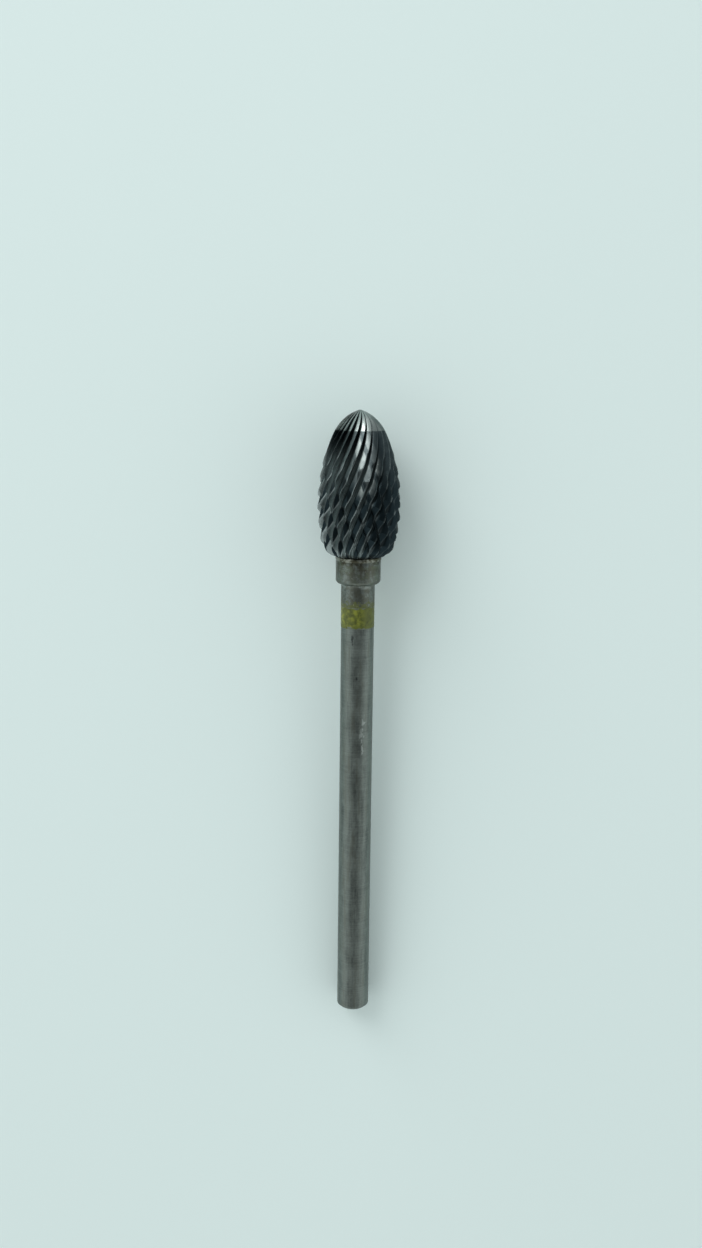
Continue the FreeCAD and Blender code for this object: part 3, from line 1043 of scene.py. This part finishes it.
class BURR_OT_band(bpy.types.Operator):
    """Model the painted band round the shank"""

    bl_idname = "burr.band"
    bl_label = "Colour band"

    def execute(self, context):
        sizes = context.scene.burr_sizes
        length = sizes.band_length / MM
        low = NECK_FOOT - length
        outer = SHANK_RADIUS + sizes.paint / MM
        edge = 0.02
        end_ring = 0.2
        piece = start_ring("paint_ring", 160, SHANK_RADIUS, filled=False)
        bpy.ops.transform.translate(value=(0, 0, low))
        stations = [(low, SHANK_RADIUS), (low + edge, outer)]
        stations += [(height, outer) for height in spread(low + end_ring, NECK_FOOT - end_ring, 4)]
        stations += [(NECK_FOOT - edge, outer), (NECK_FOOT, SHANK_RADIUS), (low, SHANK_RADIUS)]
        grow(stations)
        bpy.ops.mesh.select_all(action="SELECT")
        bpy.ops.mesh.remove_doubles(threshold=0.001)
        close_up()
        lay_down(piece)
        finish = paint_finish(context.scene.burr_colours, length)
        settle(piece, "colour_band", finish)
        return {"FINISHED"}


class BURR_OT_stage(bpy.types.Operator):
    """Set up the floor, the light and the camera"""

    bl_idname = "burr.stage"
    bl_label = "Stage"

    def execute(self, context):
        stage = context.scene.burr_stage
        self.lay_floor(stage)
        self.light_room(context.scene, stage)
        self.add_softbox(context.scene, stage)
        self.place_camera(context.scene)
        context.scene.view_settings.view_transform = "Standard"
        return {"FINISHED"}

    @staticmethod
    def lay_floor(stage):
        """A wide, pale, matt floor."""
        clear_selection()
        bpy.ops.mesh.primitive_circle_add(vertices=96, radius=FLOOR_RADIUS, fill_type="NGON")
        floor = bpy.context.object
        floor.name = "floor"
        colour = (*stage.floor, 1.0)
        finish = Finish("floor", Base_Color=colour, Roughness=0.75, Specular_IOR_Level=0.2)
        floor.data.materials.append(finish.material)

    @staticmethod
    def light_room(scene, stage):
        """Soft light from all round, dimmer overhead, and a pale backdrop for the camera."""
        world = bpy.data.worlds.new("room")
        scene.world = world
        world.use_nodes = True
        room = NodeSheet(world.node_tree)
        direction = room.add("ShaderNodeTexCoord", output="Generated")
        overhead = room.towards(direction, (0.05, 0.0, 1.0))
        level = overhead.between(0.45, 0.95, stage.room, stage.overhead)
        seen = room.add("ShaderNodeLightPath", output="Is Camera Ray")
        inputs = {"Factor_Float": seen, "A_Float": level, "B_Float": stage.backdrop}
        shown = room.add("ShaderNodeMix", {"data_type": "FLOAT"}, inputs, "Result_Float")
        background = room.nodes["Background"]
        background.inputs["Color"].default_value = (*ROOM_TINT, 1.0)
        room.feed(background.inputs["Strength"], shown)

    @staticmethod
    def add_softbox(scene, stage):
        """A large soft lamp beyond the nose, on the left, that faces the head."""
        lamp = bpy.data.lights.new("front_softbox", "AREA")
        lamp.shape = "RECTANGLE"
        lamp.size, lamp.size_y = SOFTBOX_SIZE
        lamp.energy = stage.softbox
        stand = bpy.data.objects.new("front_softbox", lamp)
        scene.collection.objects.link(stand)
        stand.location = SOFTBOX_PLACE
        towards = Vector(SOFTBOX_AIM) - stand.location
        stand.rotation_euler = towards.to_track_quat("-Z", "Y").to_euler()

    @staticmethod
    def place_camera(scene):
        """A camera above the burr, a little towards its nose, at the photograph's angle."""
        frame_height = 1248
        focal_pixels = 1250.0
        aside_pixels = 6.5
        sensor = 24.0
        pitch = math.radians(12.0)
        roll = math.radians(0.68)
        aim_height = 29.432
        distance = 88.9 * MM
        aim = TAIL + LYING.to_3x3() @ Vector((0, 0, aim_height)) * MM
        aside = aside_pixels / focal_pixels * distance
        nose_ward = -TO_TAIL
        outward = LYING.to_3x3() @ Vector((0, -1, 0))
        back = math.sin(pitch) * nose_ward + math.cos(pitch) * outward
        up = math.cos(pitch) * nose_ward - math.sin(pitch) * outward
        right = up.cross(back)
        turned = Matrix((right, up, back)).transposed() @ Matrix.Rotation(roll, 3, "Z")
        camera = bpy.data.cameras.new("camera")
        camera.sensor_fit = "VERTICAL"
        camera.sensor_height = sensor
        camera.lens = sensor * focal_pixels / frame_height
        camera.clip_start = 0.005
        camera.clip_end = 20.0
        stand = bpy.data.objects.new("camera", camera)
        scene.collection.objects.link(stand)
        stand.matrix_world = Matrix.Translation(aim + back * distance - right * aside) @ turned.to_4x4()
        scene.camera = stand


class BURR_PT_panel(bpy.types.Panel):
    """The burr's pieces and settings in the sidebar"""

    bl_idname = "BURR_PT_panel"
    bl_label = "Carbide burr"
    bl_space_type = "VIEW_3D"
    bl_region_type = "UI"
    bl_category = "Burr"

    def draw(self, context):
        for group in (context.scene.burr_sizes, context.scene.burr_colours, context.scene.burr_stage):
            for name in group.bl_rna.properties.keys():
                if name not in {"rna_type", "name"}:
                    self.layout.prop(group, name)
        for step in STEPS:
            self.layout.operator(step)


STEPS = ("burr.shank", "burr.braze", "burr.band", "burr.head", "burr.stage")

GROUPS = {"burr_sizes": BurrSizes, "burr_colours": BurrColours, "burr_stage": BurrStage}

CLASSES = (
    BurrSizes,
    BurrColours,
    BurrStage,
    BURR_OT_head,
    BURR_OT_shank,
    BURR_OT_braze,
    BURR_OT_band,
    BURR_OT_stage,
    BURR_PT_panel,
)


def register():
    """Registers the classes and hangs the settings on the scene."""
    for each in CLASSES:
        bpy.utils.register_class(each)
    for name, group in GROUPS.items():
        setattr(bpy.types.Scene, name, bpy.props.PointerProperty(type=group))


def unregister():
    """Takes the settings and the classes away again."""
    for name in GROUPS:
        delattr(bpy.types.Scene, name)
    for each in reversed(CLASSES):
        bpy.utils.unregister_class(each)


def main():
    """Models every piece in order."""
    register()
    bpy.ops.burr.shank()
    bpy.ops.burr.braze()
    bpy.ops.burr.band()
    bpy.ops.burr.head()
    bpy.ops.burr.stage()


if __name__ == "__main__":
    main()
